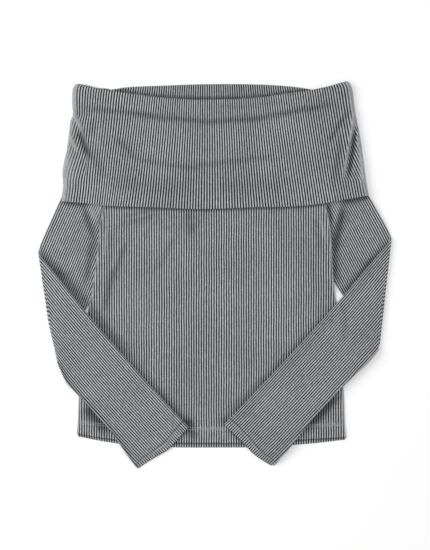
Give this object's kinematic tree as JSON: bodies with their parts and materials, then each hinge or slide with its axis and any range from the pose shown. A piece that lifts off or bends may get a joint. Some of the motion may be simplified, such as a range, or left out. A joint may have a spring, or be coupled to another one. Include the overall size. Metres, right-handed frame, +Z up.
{
  "type": "off-shoulder rib-knit top",
  "caption": "Off-shoulder top in fine rib knit with a deep fold-over collar and long sleeves, laid flat with the forearms folded across the front.",
  "frame": {"origin": "centre of the outline seen from above, at the height of the surface that the top lies on", "axes": "+Y from the hem to the collar, +X to the viewer's right, +Z up from the surface towards the front of the top"},
  "size_m": [0.5296, 0.5804, 0.0069],
  "materials": {
    "front": "matt grey melange rib knit",
    "back": "matt grey melange rib knit",
    "collar": "matt grey melange rib knit",
    "sleeve_left": "matt grey melange rib knit",
    "sleeve_right": "matt grey melange rib knit"
  },
  "bodies": {
    "root": {"front": "front", "back": "back", "collar": "collar", "sleeve_left": "sleeve_left", "sleeve_right": "sleeve_right"}
  },
  "joints": []
}
